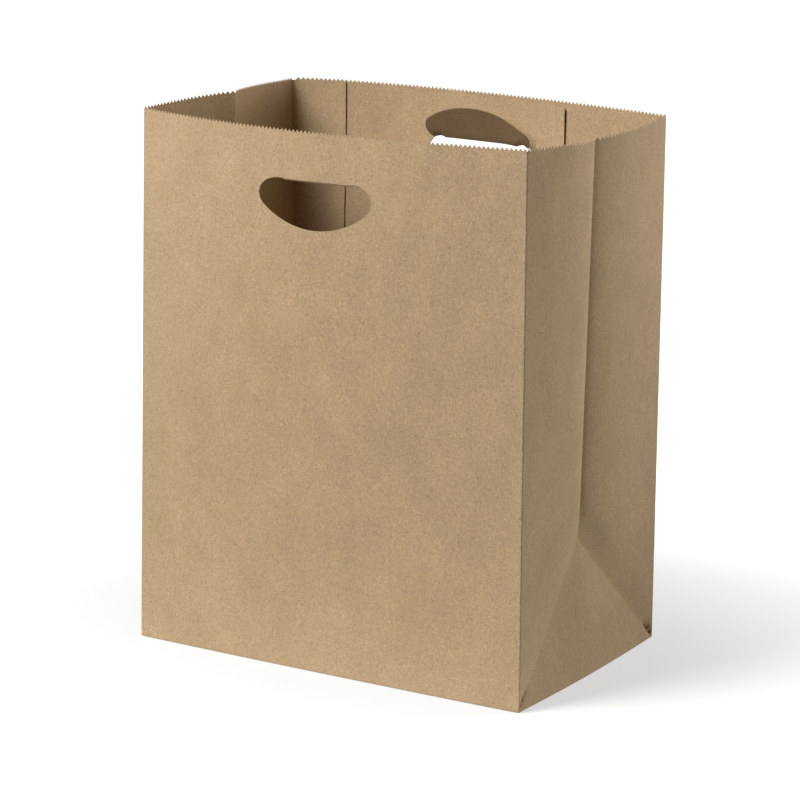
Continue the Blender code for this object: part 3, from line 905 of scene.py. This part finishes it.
def make_floor():
    """A floor that is white to the camera away from the bag, with painted shade close round it, and
    lights the foot of the bag.
    """
    mesh = bmesh.new()
    bmesh.ops.create_grid(mesh, x_segments=1, y_segments=1, size=FLOOR_SIZE)
    data = bpy.data.meshes.new("floor")
    mesh.to_mesh(data)
    mesh.free()
    floor = bpy.data.objects.new("floor", data)
    bpy.context.scene.collection.objects.link(floor)
    material = bpy.data.materials.new("floor")
    material.use_nodes = True
    nodes = material.node_tree.nodes
    link = material.node_tree.links.new
    shader = nodes["Principled BSDF"]
    shader.inputs["Base Color"].default_value = (FLOOR_SHADE, FLOOR_SHADE, FLOOR_SHADE, 1.0)
    shader.inputs["Roughness"].default_value = 1.0
    shader.inputs["Specular IOR Level"].default_value = 0.0
    shader.inputs["Emission Color"].default_value = (1.0, 1.0, 1.0, 1.0)

    where = nodes.new("ShaderNodeTexCoord")

    def faded(middle, reach, ends):
        squeeze = nodes.new("ShaderNodeMapping")
        squeeze.inputs["Scale"].default_value = (2 / WIDTH, 2 / DEPTH, 1.0)
        squeeze.inputs["Location"].default_value = (-middle[0], -middle[1], 0.0)
        link(where.outputs["Object"], squeeze.inputs["Vector"])
        length = nodes.new("ShaderNodeVectorMath")
        length.operation = "LENGTH"
        link(squeeze.outputs["Vector"], length.inputs[0])
        remap = nodes.new("ShaderNodeMapRange")
        remap.inputs["From Min"].default_value = reach[0]
        remap.inputs["From Max"].default_value = reach[1]
        remap.inputs["To Min"].default_value = ends[0]
        remap.inputs["To Max"].default_value = ends[1]
        link(length.outputs["Value"], remap.inputs["Value"])
        return remap.outputs["Result"]

    # Weaker glow to the camera near the bag: painted shade round the bag, which also fades its shadow
    # with distance
    glow_and_painted_shade = faded(FLOOR_GLOW_MIDDLE, FLOOR_GLOW_REACH, FLOOR_GLOW_AND_PAINTED_SHADE)
    near = faded(FLOOR_NEAR_MIDDLE, FLOOR_NEAR_REACH, FLOOR_NEAR_LIGHT)
    seen = nodes.new("ShaderNodeLightPath")
    camera = math_node(nodes, link, "MULTIPLY", seen.outputs["Is Camera Ray"], glow_and_painted_shade)
    spread = math_node(nodes, link, "MULTIPLY", seen.outputs["Is Diffuse Ray"], near)
    strength = math_node(nodes, link, "ADD", camera, spread)
    link(strength, shader.inputs["Emission Strength"])
    data.materials.append(material)


def make_world():
    """White to the camera, and a dim soft light on the bag."""
    world = bpy.data.worlds.new("world")
    world.use_nodes = True
    nodes = world.node_tree.nodes
    link = world.node_tree.links.new
    background = nodes["Background"]
    background.inputs["Color"].default_value = (1.0, 1.0, 1.0, 1.0)
    seen = nodes.new("ShaderNodeLightPath")
    camera = math_node(nodes, link, "MULTIPLY", seen.outputs["Is Camera Ray"], 1.0 - AMBIENT)
    strength = math_node(nodes, link, "ADD", camera, AMBIENT)
    link(strength, background.inputs["Strength"])
    bpy.context.scene.world = world


def main():
    bag_paper = kraft("bag_paper", BAG_COLOUR)
    # Patch paper with painted light: a little lighter than the bag paper
    patch_paper = kraft("patch_paper", PATCH_COLOUR_PAINTED_LIGHTER)

    sheet = make_sheet(bag_paper)
    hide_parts("bag_body")
    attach(sheet, "root")

    front_u = FRONT_START + WIDTH / 2 + FRONT_PATCH_X
    back_u = BACK_START + WIDTH / 2 - BACK_PATCH_X
    front_place = (FRONT_HANDLE, FRONT_HANDLE_ENDS, front_u, 1)
    back_place = (BACK_HANDLE, BACK_HANDLE_ENDS, back_u, -1)
    front = make_patch("front_patch", *front_place, FRONT_FLAP_LIFT, 0.0, 0.0, patch_paper)
    back_flap = (BACK_FLAP_LIFT, BACK_FLAP_SAG)
    back = make_patch("back_patch", *back_place, *back_flap, PATCH_CURL, patch_paper)
    for patch, node in ((front, "front_handle_patch"), (back, "back_handle_patch")):
        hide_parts(node)
        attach(patch, "root")

    make_floor()
    make_world()
    make_lamps()
    make_camera()
    bpy.context.scene.view_settings.view_transform = "Standard"


main()
